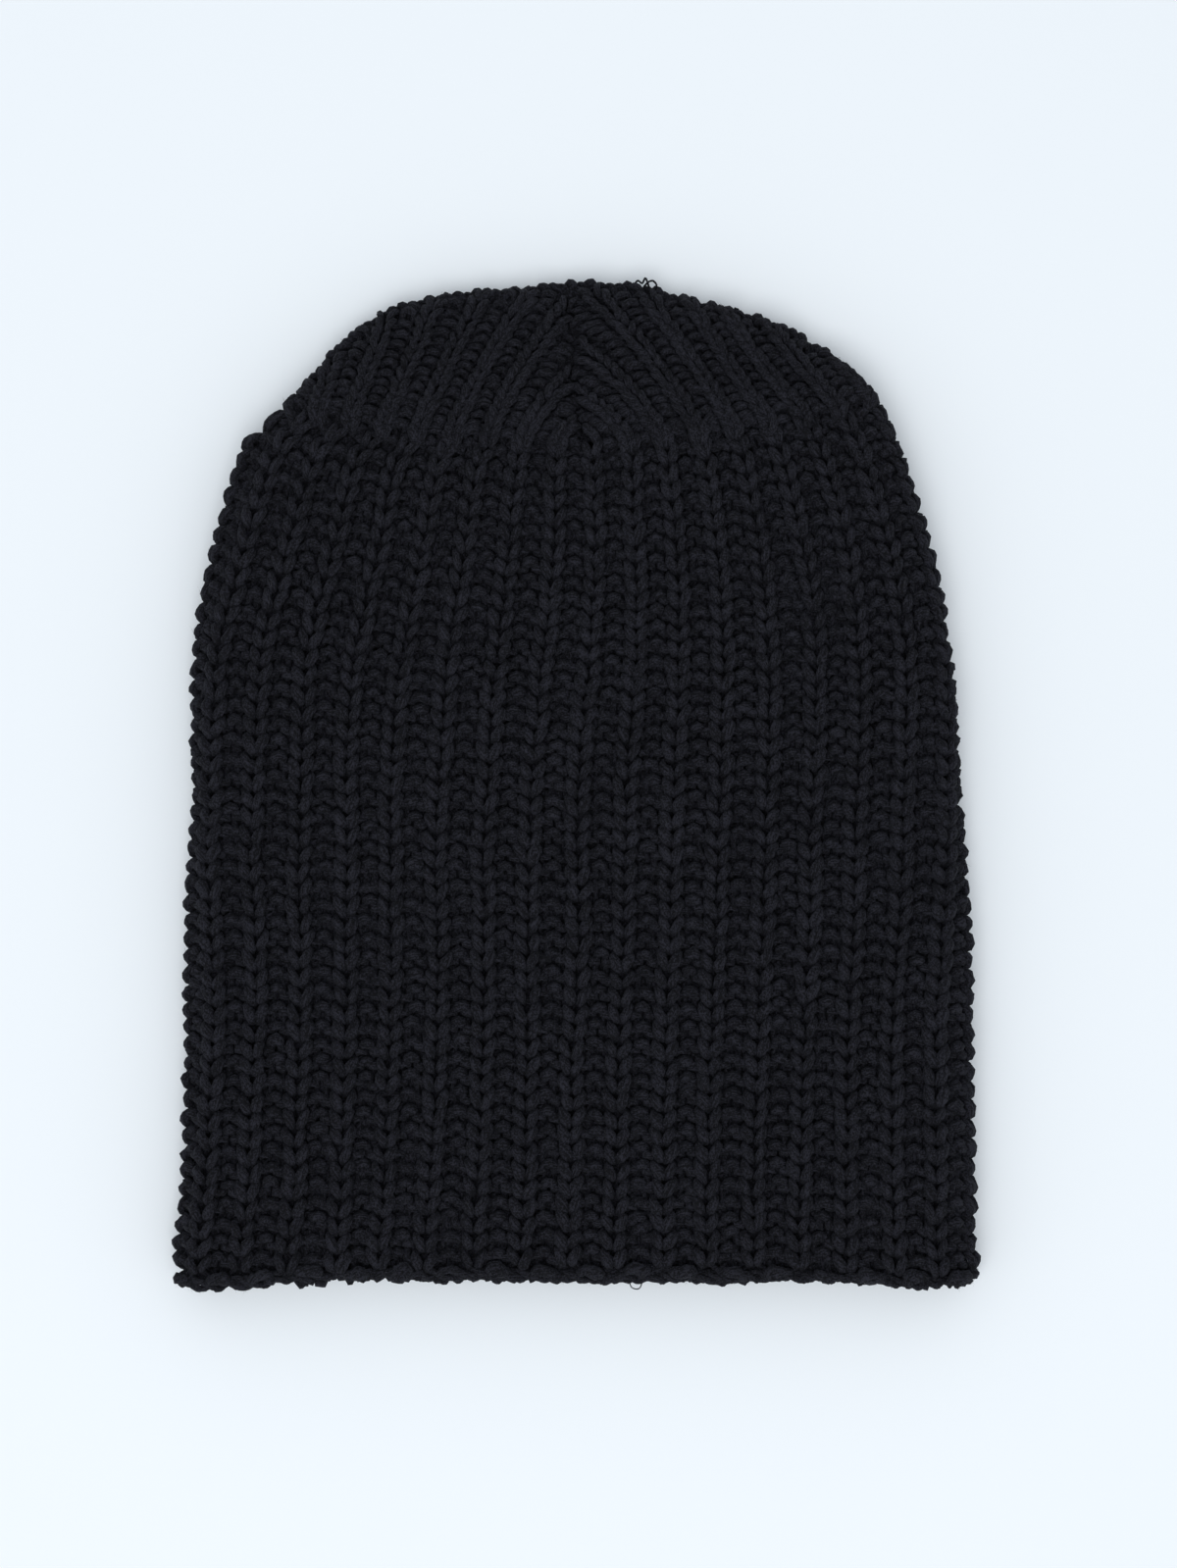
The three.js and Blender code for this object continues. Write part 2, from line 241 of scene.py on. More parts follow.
def between(grid, u, v):
    # the grid's value between its four nearest points, up to just before its last line
    u, v = np.clip(u, 0, grid.shape[0] - 1.001), np.clip(v, 0, grid.shape[1] - 1.001)
    i, j = u.astype(int), v.astype(int)
    u, v = u - i, v - j
    low = grid[i, j] * (1 - v) + grid[i, j + 1] * v
    high = grid[i + 1, j] * (1 - v) + grid[i + 1, j + 1] * v
    return low * (1 - u) + high * u


def wornAcross(rib, rise):
    # to the left at the hem, to the right at the crown line, and apart in between
    lean = worn["crownRight"] * begins("crownRight", rise) - worn["hemLeft"] * fades("hemLeft", rise)
    apart = begins("spreadFoot", rise) * fades("spreadTop", rise)
    return lean + worn["spread"] * apart * rib / worn["lastRib"]


def wornUp(rib, rise):
    # squares of the share of the way to the side, and a bell-shaped dip under the seam
    side = rib / worn["lastRib"]
    sag = worn["leftSag"] * np.clip(-side, 0, None)**2 * fades("leftSag", rise)
    droop = worn["hemDroop"] * np.clip(side, 0, None)**2 * fades("hemDroop", rise)
    push = worn["middleRise"] * (1 - side**2) * fades("middleRise", rise)
    dip = worn["middleDip"] * np.exp(-(rib / worn["dipWidth"])**2) * begins("middleDip", rise)
    return push - sag - droop - dip + worn["crownLift"] * begins("crownLift", rise)


def shifted(amount, rib, rise):
    # the front's own amount; over the back, each fold's amount by the square of the share of the way to it
    rib, rise = np.broadcast_arrays(onRound(rib), rise)
    last = worn["lastRib"]
    left, right = (amount(edge, rise) for edge in (-last, last))
    back = (rib % hat["ribCount"] - last) / (hat["ribCount"] - 2 * last)
    return np.where(np.abs(rib) <= last, amount(rib, rise), right * (1 - back)**2 + left * back**2)


def slide(rib, rise):
    # where a rib of the straight pattern lies in the worn one, in ribs
    return rib + shifted(wornAcross, rib, rise)


def halves(rib):
    # which half of the front or back a rib lies on, and how many ribs it lies from that face's middle
    side = onRound(rib)
    away = np.abs(side)
    onFront = away <= ribsToFold
    across = np.where(onFront, away, 2 * ribsToFold - away)
    return np.where(side < 0, -1, 1), np.where(onFront, 1, -1), across


def bodySurface(rib, row):
    # the plate, at the place that the worn fabric's rib and row have on the plan
    rise = row / hat["rows"]
    side, face, across = halves(slide(rib, rise))
    x, y = bodyPlan(side * np.maximum(across, tiny), rise + shifted(wornUp, rib, rise) / hat["rows"])
    return plate(x, y, face)


# Crown gores: ribs run up from the crown line, bending towards the seam, until a seam ends them
crown = {
    "rowPitch": 2.8, "rows": (-1, 20),     # from this row up to, and without, that one
    "bendFrom": 0.7, "bendTo": 1.35,       # a bent rib's lean at its foot and top, as shares of the table's
    "bentRibs": 3, "straightRibs": 6,      # from the seam: the last fully bent rib, the first straight one
    "longest": 70.0,                       # more than any rib's length
    "linesPerRib": 20, "linesPerLength": 2,
}


def goreLines(side):
    # each rib's line up a gore, by small steps along its lean, as x and y on a grid of ribs by lengths;
    # it runs until it meets the seam or the outline
    step = 1 / crown["linesPerLength"]
    rib = np.linspace(0, ribsToFold, ribsToFold * crown["linesPerRib"] + 1)
    length = np.arange(0, crown["longest"], step)
    foot = 1 + hat["gap"] / (hat["crownY"] - hat["hemY"])
    x, y = bodyPlan(side * np.maximum(rib, tiny), np.full(rib.shape, foot))
    x = x + side * hat["gap"] / 2 * (1 - rib / ribsToFold)
    lean = np.radians(np.interp(rib, leanTable["rib"], leanTable["left" if side < 0 else "right"]))
    top = outline["top"]
    bend = np.zeros((len(rib), len(length)))
    for _ in range(2):
        # the second time round, each rib bends over the length that its straight line had
        way = lean[:, None] * (1 + bend)
        lineX = x[:, None] - side * step * (np.cumsum(np.sin(way), 1) - np.sin(way[:, :1]))
        lineY = y[:, None] + step * (np.cumsum(np.cos(way), 1) - np.cos(way[:, :1]))
        overSeam = side * (lineX - np.interp(lineY, seamTable["y"], seamTable["x"])) < hat["gap"] / 2
        overTop = lineY > np.interp(lineX, top[:, 0], top[:, 1], left=-math.inf, right=-math.inf)
        reach = length[(overSeam | overTop).argmax(1)]
        bent = 1 - ramp(crown["bentRibs"], crown["straightRibs"], rib)[:, None]
        share = np.clip(length / np.maximum(reach, 1)[:, None], 0, 1)
        bend = bent * (crown["bendFrom"] - 1 + (crown["bendTo"] - crown["bendFrom"]) * share)
    return {"x": lineX, "y": lineY, "reach": np.maximum(reach - step / 2, 0), "rib": rib}


goreTable = {side: goreLines(side) for side in (-1, 1)}


def crownReach(rib):
    # how long a rib of the crown is
    side, _, across = halves(slide(rib, 1.0))
    left, right = (np.interp(across, goreTable[s]["rib"], goreTable[s]["reach"]) for s in (-1, 1))
    return np.where(side < 0, left, right)


def crownSurface(rib, row):
    # up a rib by its rows, and no further than its seam; rows below 0 lie straight under the rib's foot
    side, face, across = halves(slide(rib, 1.0))
    length = np.minimum(row * crown["rowPitch"], crownReach(rib))
    spot = across * crown["linesPerRib"], length * crown["linesPerLength"]
    x, y = (np.where(side < 0, between(goreTable[-1][axis], *spot), between(goreTable[1][axis], *spot))
            for axis in ("x", "y"))
    return plate(x, y + np.minimum(length, 0), face, hat["gap"] / 2)


# Stitches: where the yarn runs in one rib, through a raised stitch ("knit") and a sunk one ("purl").
# Columns: across from the stitch's middle (mm), up (rows), out (mm), girth (share of the yarn's).
bodyStitch = {
    "yarn": 2.65,
    "pitch": 12.5,
    "rowPitch": (hat["crownY"] - hat["hemY"]) / hat["rows"],
    "steps": 32,
    "knit": [
        (-1.6, -0.08, -1.7, 0.8), (-1.1, 0.08, -0.5, 0.98), (-1.12, 0.2, 0.6, 1.12),
        (-1.6, 0.43, 1.15, 1.18), (-2.15, 0.66, 1.1, 1.08), (-2.5, 0.84, 0.3, 0.92),
        (-2.2, 1.02, -0.8, 0.8), (0.0, 1.2, -1.4, 0.8), (2.2, 1.02, -0.8, 0.8),
        (2.5, 0.84, 0.3, 0.92), (2.15, 0.66, 1.1, 1.08), (1.6, 0.43, 1.15, 1.18),
        (1.12, 0.2, 0.6, 1.12), (1.1, 0.08, -0.5, 0.98), (1.6, -0.08, -1.7, 0.8),
    ],
    "purl": [
        (-3.75, -0.22, -2.0, 0.8), (-3.0, -0.48, -0.9, 0.9), (-2.1, -0.56, 0.3, 1.1),
        (-1.45, -0.42, -0.4, 0.95), (-1.3, -0.15, -1.6, 0.8), (-1.5, 0.15, -2.1, 0.8),
        (-1.5, 0.5, -1.9, 0.8), (-1.3, 0.74, -0.8, 0.95), (-0.55, 0.88, 0.25, 1.15),
        (0.55, 0.88, 0.25, 1.15), (1.3, 0.74, -0.8, 0.95), (1.5, 0.5, -1.9, 0.8),
        (1.5, 0.15, -2.1, 0.8), (1.3, -0.15, -1.6, 0.8), (1.45, -0.42, -0.4, 0.95),
        (2.1, -0.56, 0.3, 1.1), (3.0, -0.48, -0.9, 0.9), (3.75, -0.22, -2.0, 0.8),
    ],
    # chance changes within a rib, slower ones from rib to rib, and how much more the sunk stitches stray
    "jitter": {"across": 0.024, "up": 0.07, "out": 0.22, "girth": 0.1},
    "wander": {"across": 0.03, "up": 0.08, "out": 0.2, "girth": 0.05},
    "sunkStray": 0.5,
    "byRow": {"row": [0, 29, 48], "girth": [1, 1, 0.86], "lift": [0.45, 0.45, 0.35]},
}
crownStitch = {
    "yarn": 1.9,
    "pitch": 9.4,
    "rowPitch": crown["rowPitch"],
    "steps": 22,
    "knit": [
        (-2.5, -0.05, -0.8, 0.8), (-1.5, -0.3, -0.6, 0.85), (-0.75, 0.0, 0.8, 1.05),
        (-1.1, 0.5, 1.5, 1.18), (-1.65, 1.0, 1.05, 1.08), (-1.6, 1.35, -0.4, 0.85),
        (0.0, 1.5, -1.0, 0.8), (1.6, 1.35, -0.4, 0.85), (1.65, 1.0, 1.05, 1.08),
        (1.1, 0.5, 1.5, 1.18), (0.75, 0.0, 0.8, 1.05), (1.5, -0.3, -0.6, 0.85),
    ],
    "purl": [
        (-2.3, -0.05, -0.9, 0.8), (-1.6, -0.3, -0.6, 0.85), (-0.7, 0.0, -1.3, 0.85),
        (-1.0, 0.45, -1.9, 0.9), (-1.6, 0.9, -1.5, 0.9), (-1.6, 1.2, -0.4, 1.0),
        (-0.75, 1.38, 0.2, 1.2), (0.75, 1.38, 0.2, 1.2), (1.6, 1.2, -0.4, 1.0),
        (1.6, 0.9, -1.5, 0.9), (1.0, 0.45, -1.9, 0.9), (0.7, 0.0, -1.3, 0.85),
        (1.6, -0.3, -0.6, 0.85),
    ],
    "jitter": {"across": 0.022, "up": 0.09, "out": 0.18, "girth": 0.1},
    "wander": {"across": 0.03, "up": 0.1, "out": 0.15, "girth": 0.04},
    "sunkStray": 0.9,
    "byRow": {"row": [0, 2.5, 6], "girth": [1.25, 1.12, 1], "lift": [0.7, 0.4, 0.1]},
}
# How the yarn is cut into steps and strays by chance
yarnForm = {
    "knotSteps": 24,                       # fine steps between a stitch's points, evened out afterwards
    "hiddenSteps": 0.6, "shownSteps": 0.9, "shownSpan": (-0.8, 0.6),   # more steps where the yarn lies high
    "jitterPerRib": 4, "wanderPerRib": 1, "wanderRows": 5,
    "rowProbe": 0.25,                      # how many rows down the fabric's own direction is taken from
    "sides": 6,
    "lumps": 0.08, "lumpSeed": 31,         # by what share of the girth a ring's corners stray
    "courseShift": 37.0,                   # how much further along its fibres each course starts
}
# The felted sheet: how near a fold it changes its depth, in ribs, and its fibres' run
sheet = {"foldRibs": 1.2, "strandPerRow": 4, "strandPerRib": 3}


def ribPath(stitch):
    # the raised stitch's right half, the sunk stitch and the next raised stitch's left half, in even steps
    pitch, scale = stitch["pitch"], np.array([stitch["pitch"], stitch["rowPitch"], 1.0])
    nextRib = np.array([1.0, 0, 0, 0])
    if "knots" in stitch:
        knots = stitch["knots"] / [pitch, 1, 1, 1]
    else:
        knit, purl = np.array(stitch["knit"], float), np.array(stitch["purl"], float)
        knit[:, 0] /= pitch
        purl[:, 0] = purl[:, 0] / pitch + 0.5
        head = int(np.argmax(knit[:, 1]))
        knots = np.vstack([knit[head:], purl, knit[:head] + nextRib])
    around = np.vstack([knots[-1:] - nextRib, knots, knots[:2] + nextRib])
    knotSteps = yarnForm["knotSteps"]
    fine = smoothCurve(around, knotSteps)[knotSteps:-knotSteps]
    # steps are shorter where the yarn shows
    high = ramp(*yarnForm["shownSpan"], (fine[1:, 2] + fine[:-1, 2]) / 2)
    shows = yarnForm["hiddenSteps"] + yarnForm["shownSteps"] * high
    lengths = np.linalg.norm(np.diff(fine[:, :3] * scale, axis=0), axis=1)
    gone = np.concatenate([[0], np.cumsum(shows * lengths)])
    even = np.linspace(0, gone[-1], stitch["steps"] + 1)
    return np.column_stack([np.interp(even, gone, column) for column in fine.T])


def carriedSide(path, scale):
    # a direction square to a path that repeats, carried along it without twist and closed up evenly
    along = unit(np.gradient(path[:, :3] * scale, axis=0))
    side = np.cross(along[0], [0.0, 1.0, 0.0])
    sides = []
    for way in along:
        side = side - way * side.dot(way)
        side /= np.linalg.norm(side)
        sides.append(side)
    sides = np.array(sides)
    other = np.cross(along, sides)
    miss = math.atan2(sides[-1].dot(other[0]), sides[-1].dot(sides[0]))
    turn = -miss * np.linspace(0, 1, len(path))[:, None]
    return np.cos(turn) * sides + np.sin(turn) * other


def roundField(chance, rows, perRib, size, spots, steps):
    # chance values on a grid that closes round the hat, with straight lines between them both ways
    columns = hat["ribCount"] * perRib
    grid = chance.normal(0, size, (rows, columns))
    place = spots / steps * perRib
    first = np.floor(place).astype(int)
    share = place - first
    return grid[:, first % columns] * (1 - share) + grid[:, (first + 1) % columns] * share


def courses(surface, stitch, rows, seed):
    # every course round the hat: a stitch's path, rib after rib, out from the surface along its normal
    scale = np.array([stitch["pitch"], stitch["rowPitch"], 1.0])
    path, steps = ribPath(stitch), stitch["steps"]
    sides = carriedSide(path, scale)
    spots = np.arange(-1, hat["ribCount"] * steps + 2)
    local = path[spots % steps]
    local[:, 0] += spots // steps
    chance = np.random.default_rng(seed)
    rows = np.array(rows, float)
    coarse = max(2, len(rows) // yarnForm["wanderRows"])
    stretch = np.linspace(0, coarse - 1, len(rows))
    low = np.minimum(stretch.astype(int), coarse - 2)
    share = (stretch - low)[:, None]

    def noise(key):
        # quick changes, and slow ones with straight lines between their rows
        fine = roundField(chance, len(rows), yarnForm["jitterPerRib"], stitch["jitter"][key], spots, steps)
        slow = roundField(chance, coarse, yarnForm["wanderPerRib"], stitch["wander"][key], spots, steps)
        return fine + slow[low] * (1 - share) + slow[low + 1] * share

    # the sunk stitches stray more than the raised ones
    stray = 1 + stitch["sunkStray"] * np.sin(math.pi * local[:, 0]) ** 2
    across = local[:, 0] + noise("across") * stray
    up = rows[:, None] + local[:, 1] + noise("up") * stray
    thick, lift = (np.interp(rows, stitch["byRow"]["row"], stitch["byRow"][key])[:, None]
                   for key in ("girth", "lift"))
    out = local[:, 2] + lift + noise("out") * stray
    girth = local[:, 3] * stitch["yarn"] / 2 * (1 + noise("girth")) * thick
    middle, normal = surface(across.ravel(), up.ravel())
    below, _ = surface(across.ravel(), up.ravel() - yarnForm["rowProbe"])
    ahead = middle - below
    ahead = unit(ahead - normal * (ahead * normal).sum(1, keepdims=True), tiny)
    over = np.cross(ahead, normal)
    shape = across.shape + (3,)
    centre = (middle + normal * out.ravel()[:, None]).reshape(shape)
    side = np.tile(sides[spots % steps], (len(rows), 1))
    side = (over * side[:, :1] + ahead * side[:, 1:2] + normal * side[:, 2:]).reshape(shape)
    return {"centre": centre, "side": side, "girth": girth, "normal": normal.reshape(shape),
            "rib": across, "row": rows}


def yarnRings(lines, twist, lumps=yarnForm["lumps"]):
    # circles square to each line of points, a little lumpy, with their place along and round the yarn
    centre, girth, sides = lines["centre"], lines["girth"], yarnForm["sides"]
    chance = np.random.default_rng(yarnForm["lumpSeed"])
    lump = 1 + chance.normal(0, lumps, girth.shape + (sides, 1))
    along = unit(np.gradient(centre, axis=1))
    side = unit(lines["side"] - along * (lines["side"] * along).sum(2, keepdims=True))
    other = np.cross(along, side)
    angle = np.arange(sides) / sides * math.tau
    ring = side[:, :, None] * np.cos(angle)[:, None] + other[:, :, None] * np.sin(angle)[:, None]
    gone = np.linalg.norm(np.diff(centre, axis=1), axis=2).cumsum(1)
    gone = np.pad(gone, ((0, 0), (1, 0))) + np.arange(len(centre))[:, None] * yarnForm["courseShift"]
    turn = angle[None, None] + gone[:, :, None] * twist
    strand = np.stack([np.broadcast_to(gone[:, :, None], turn.shape), np.cos(turn), np.sin(turn)], -1)
    return centre[:, :, None] + ring * girth[:, :, None, None] * lump, strand


def tube(rings, strand):
    # quads between neighbouring rings, and a flat end across the first and the last
    spots, sides = rings.shape[:2]
    corner = np.arange(spots * sides).reshape(spots, sides)
    here, there = corner[:-1], corner[1:]
    walls = np.stack([here, np.roll(here, -1, 1), np.roll(there, -1, 1), there], -1).reshape(-1, 4)
    step = np.arange(sides // 2 - 1)
    end = np.stack([step, step + 1, sides - 2 - step, sides - 1 - step], 1)
    quads = np.vstack([walls, end[:, ::-1], end + corner[-1, 0]])
    return rings.reshape(-1, 3), quads, strand.reshape(-1, 3)


def core(surface, ribs, rows, depth, atFold):
    # a sheet in the middle of the wall, a little way in, and by another depth at the folds: the felted
    # fibres that close the gaps between the yarns
    rib, row = np.meshgrid(ribs, rows, indexing="ij")
    fold = 1 - np.clip(np.abs(np.abs(onRound(rib.ravel())) - ribsToFold) / sheet["foldRibs"], 0, 1)
    depth = (depth + (atFold - depth) * fold)[:, None]
    middle, normal = surface(rib.ravel(), row.ravel())
    corner = np.arange(rib.size).reshape(rib.shape)
    quads = np.stack([corner[:-1, :-1], corner[1:, :-1], corner[1:, 1:], corner[:-1, 1:]], -1)
    alongRows, acrossRibs = row.ravel() * sheet["strandPerRow"], rib.ravel() * sheet["strandPerRib"]
    strand = np.stack([alongRows, acrossRibs, np.zeros(rib.size)], 1)
    return middle - normal * depth, quads.reshape(-1, 4)[:, ::-1], strand


def joined(parts):
    # several sets of points and faces as one, each set's faces counted on from the points before it
    shift = np.cumsum([0] + [len(points) for points, _, _ in parts[:-1]])
    points, quads, strands = zip(*parts)
    quads = [faces + start for faces, start in zip(quads, shift)]
    return np.vstack(points), np.vstack(quads), np.vstack(strands)


def yarnPiece(name, parts, material, slot, *nodes):
    # one mesh of all parts, no lower than the rest height, moved to the outline's middle and into metres
    points, quads, strand = joined(parts)
    points[:, 2] = np.maximum(points[:, 2], hat["rest"])
    points = (points + np.array([*hat["shift"], 0.0])) * mm
    mesh = bpy.data.meshes.new(name)
    mesh.vertices.add(len(points))
    mesh.vertices.foreach_set("co", points.astype(np.float32).ravel())
    mesh.loops.add(quads.size)
    mesh.loops.foreach_set("vertex_index", quads.astype(np.int32).ravel())
    mesh.polygons.add(len(quads))
    mesh.polygons.foreach_set("loop_start", np.arange(0, quads.size, 4, dtype=np.int32))
    mesh.update(calc_edges=True)
    mesh.polygons.foreach_set("use_smooth", np.ones(len(quads), bool))
    lay = mesh.attributes.new("strand", "FLOAT_VECTOR", "POINT")
    lay.data.foreach_set("vector", strand.astype(np.float32).ravel())
    mesh.materials.append(material)
    piece = bpy.data.objects.new(name, mesh)
    bpy.context.scene.collection.objects.link(piece)
    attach(piece, "root")
    if nodes:
        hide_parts(*nodes)
    print(f"{name}: {len(quads) * 2} triangles")


# Materials
class Value:
    # a socket that adds Math nodes when it is used in an expression
    def __init__(self, nodes, socket):
        self.nodes, self.socket = nodes, socket

    def math(self, operation, *others):
        result = self.nodes.add("ShaderNodeMath", {"operation": operation}, [self, *others])
        return Value(self.nodes, result)

    def __add__(self, other):
        return self.math("ADD", other)

    __radd__ = __add__

    def __mul__(self, other):
        return self.math("MULTIPLY", other)

    __rmul__ = __mul__

    def __sub__(self, other):
        return self.math("SUBTRACT", other)

    def __rsub__(self, other):
        return (self * -1) + other


class Nodes:
    # a material's node tree, empty at first
    def __init__(self, name):
        self.material = bpy.data.materials.new(name)
        self.material.use_nodes = True
        self.tree = self.material.node_tree
        self.tree.nodes.clear()

    def add(self, kind, settings=None, inputs=(), output=0):
        # a node of a type, its settings, then the values or links of its sockets
        node = self.tree.nodes.new(kind)
        for key, value in (settings or {}).items():
            setattr(node, key, value)
        named = inputs.items() if isinstance(inputs, dict) else enumerate(inputs)
        for key, value in named:
            socket = node.inputs[key]
            if isinstance(value, Value):
                value = value.socket
            if isinstance(value, bpy.types.NodeSocket):
                self.tree.links.new(value, socket)
            else:
                socket.default_value = value
        return node.outputs[output] if node.outputs else node

    def value(self, kind, settings=None, inputs=(), output=0):
        # the same, for an output that goes into an expression
        return Value(self, self.add(kind, settings, inputs, output))


yarnLook = {
    "dark": (0.0032, 0.0034, 0.0048, 1),
    "light": (0.0178, 0.0185, 0.0262, 1),
    "lightShare": 0.345,
    "roughness": 0.86,
    "mirror": 0.1,
    "sheen": 0.02, "sheenRoughness": 0.5,
    "sheenTint": (0.75, 0.82, 1.0, 1),
    "fibresRound": 4.0,       # how fine the fibres are round the yarn
    "fibreLength": 0.35,      # the smaller this is, the longer they are
    "fibres": {"Scale": 1.0, "Detail": 2.0, "Roughness": 0.55},
    "patches": {"Scale": 120.0, "Detail": 2.0},
    "specks": {"Scale": 2300.0, "Detail": 1.0},
    "fibreTone": 4.8, "patchTone": 0.9, "speckTone": 6.0,
    "fibreDepth": 0.9, "bumpStrength": 0.75,
}
# the fuzz's colours are lighter than the yarn's: a painted highlight that stands for the glints the fine
# fibres catch
fibrePaintedHighlightLook = dict(yarnLook, dark=(0.012, 0.0125, 0.016, 1), light=(0.036, 0.0375, 0.045, 1))


def yarnMaterial(name, look):
    # the share of the lighter colour is a base share and three noises, each less its middle, times its tone
    nodes = Nodes(name)
    strand = nodes.add("ShaderNodeAttribute", {"attribute_name": "strand"}, output="Vector")
    stretch = (look["fibreLength"], look["fibresRound"], look["fibresRound"])
    lay = nodes.add("ShaderNodeVectorMath", {"operation": "MULTIPLY"}, [strand, stretch])
    fibres = nodes.value("ShaderNodeTexNoise", None, {"Vector": lay, **look["fibres"]})
    place = nodes.add("ShaderNodeTexCoord", output="Object")
    patches = nodes.value("ShaderNodeTexNoise", None, {"Vector": place, **look["patches"]})
    specks = nodes.value("ShaderNodeTexNoise", None, {"Vector": place, **look["specks"]})
    tone = (fibres - 0.5) * look["fibreTone"] + (specks - 0.5) * look["speckTone"]
    tone = tone + (patches - 0.5) * look["patchTone"] + look["lightShare"]
    # the colour mix's own sockets: 0 its factor, 6 and 7 its two colours, and output 2
    tones = {0: tone, 6: look["dark"], 7: look["light"]}
    colour = nodes.add("ShaderNodeMix", {"data_type": "RGBA"}, tones, 2)
    relief = {"Strength": look["bumpStrength"], "Distance": look["fibreDepth"] * mm, "Height": fibres}
    bump = nodes.add("ShaderNodeBump", None, relief)
    inputs = {
        "Base Color": colour, "Normal": bump, "Roughness": look["roughness"],
        "Sheen Weight": look["sheen"], "Sheen Roughness": look["sheenRoughness"],
        "Sheen Tint": look["sheenTint"], "Specular IOR Level": look["mirror"],
    }
    nodes.add("ShaderNodeOutputMaterial", None, [nodes.add("ShaderNodeBsdfPrincipled", None, inputs)])
    return nodes.material


ribYarn = yarnMaterial("ribYarn", yarnLook)
crownYarn = yarnMaterial("crownYarn", yarnLook)
fibrePaintedHighlightYarn = yarnMaterial("fibrePaintedHighlightYarn", fibrePaintedHighlightLook)

# Loose thin strands that stand off the outline: a tuft at the crown's tip and two small loops at the hem
looseStrands = {
    "thick": {"tip": 0.6, "hem": 0.35},
    "twist": 0.6, "steps": 6,
    "tip": [
        [(15.5, 136, 8.5), (17, 138.9, 9.5), (18.4, 138.2, 10), (19.4, 139.6, 9.5), (20.6, 136.4, 8.4)],
        [(18, 136, 8.6), (19.8, 138.3, 9.8), (21.4, 138.9, 9.6), (22.4, 137.6, 9), (21.6, 135.6, 8.4)],
    ],
    "hem": [
        [(14.6, -134.6, 15.8), (15.4, -137.1, 16.2), (17.6, -137.4, 16), (18.6, -134.6, 15.6)],
        [(76.4, -134.2, 15.8), (77.2, -136, 16.2), (79.6, -136.2, 16), (80.6, -134.2, 15.6)],
    ],
}


def looseTubes(place):
    # a thin yarn along each route at the tip or the hem
    tubes = []
    for route in looseStrands[place]:
        line = smoothCurve(np.array(route, float), looseStrands["steps"])
        side = np.broadcast_to(np.array([0.0, 0.0, 1.0]), line.shape)
        girth = np.full((1, len(line)), looseStrands["thick"][place] / 2)
        lines = {"centre": line[None], "side": side[None], "girth": girth}
        rings, strand = yarnRings(lines, looseStrands["twist"])
        tubes.append(tube(rings[0], strand[0]))
    return tubes


# Body: four quarters of the rib tube, from a fold to the middle of the front or back
bodyLook = {
    "seed": 11, "firstRow": 0.5, "twist": 0.25, "lumps": 0.1,
    "coreDepth": 1.3, "coreAtFold": 0.2,                    # the felted sheet, from under the hem line up
    "coreFoot": -0.1, "coreColumns": 31, "coreRows": 34,
}
bodyRows = np.arange(hat["rows"]) + bodyLook["firstRow"]
bodyLines = courses(bodySurface, bodyStitch, bodyRows, bodyLook["seed"])
rings, strand = yarnRings(bodyLines, bodyLook["twist"], bodyLook["lumps"])
quarter = ribsToFold * bodyStitch["steps"]
for number, name in enumerate(("bodyFrontRight", "bodyBackRight", "bodyBackLeft", "bodyFrontLeft")):
    part = slice(1 + number * quarter, 2 + (number + 1) * quarter)
    parts = [tube(rings[row, part], strand[row, part]) for row in range(hat["rows"])]
    ribs = np.linspace(number, number + 1, bodyLook["coreColumns"]) * ribsToFold
    rows = np.linspace(bodyLook["coreFoot"], hat["rows"], bodyLook["coreRows"])
    parts.append(core(bodySurface, ribs, rows, bodyLook["coreDepth"], bodyLook["coreAtFold"]))
    yarnPiece(name, parts, ribYarn, "rib_yarn", "body")
report("body")


def goreKey(side, face):
    # one number for each gore, none of them 0
    return side * 2 + face


def goreSurface(side, face):
    # a whole gore, by its ribs from the seam out and its shares of each rib's length
    def surface(rib, share):
        lines = goreTable[side]
        length = share * np.interp(rib, lines["rib"], lines["reach"])
        spot = rib * crown["linesPerRib"], length * crown["linesPerLength"]
        x, y = (between(lines[axis], *spot) for axis in ("x", "y"))
        return plate(x, y, np.full(rib.shape, face), hat["gap"] / 2)

    return surface


# Crown: the gores' courses, each cut where its ribs meet a seam, with the cut ends tucked in
crownLook = {
    "seed": 50, "twist": 0.3, "lumps": 0.11,
    "tuckOver": 3, "tuckDepth": 0.8,       # a cut end goes in, over this many steps
    "shortest": 8,                         # steps in a run of yarn that is worth keeping
    "coreDepth": 1.4, "coreAtFold": 1.0, "corePerRib": 4, "coreRows": 17,
    "corePast": 1.04,                      # the felted sheet's end, in lengths of a rib
}
# The chain along the outline
binding = {
    "seed": 60, "yarn": 1.9, "pitch": 5.2, "steps": 10,
    "out": 0.35, "swing": 0.9, "swingUp": 1.5,
    "stray": 0.25, "strayEvery": 6,
}
crownRows = range(*crown["rows"])
crownLines = courses(crownSurface, crownStitch, crownRows, crownLook["seed"])
reaches = crownReach(crownLines["rib"].ravel()).reshape(crownLines["rib"].shape)
side, face, _ = halves(slide(crownLines["rib"], 1.0))
# a stitch is kept where its rib goes on for more than half a row above it
alive = reaches > (crownLines["row"][:, None] + 0.5) * crown["rowPitch"]
alive[:, 0] = False
alive[:, -1] = False
gore = np.where(alive, goreKey(side, face), 0)
runs = []
for row in range(len(crownRows)):
    edges = np.flatnonzero(np.diff(gore[row])) + 1
    for first, last in zip(edges[:-1], edges[1:]):
        if gore[row, first] and last - first > crownLook["shortest"]:
            runs.append((row, first, last))
            place = np.arange(last - first)
            tuck = 1 - ramp(0, crownLook["tuckOver"], np.minimum(place, place[::-1]))
            inward = crownLines["normal"][row, first:last] * (crownLook["tuckDepth"] * tuck)[:, None]
            crownLines["centre"][row, first:last] -= inward


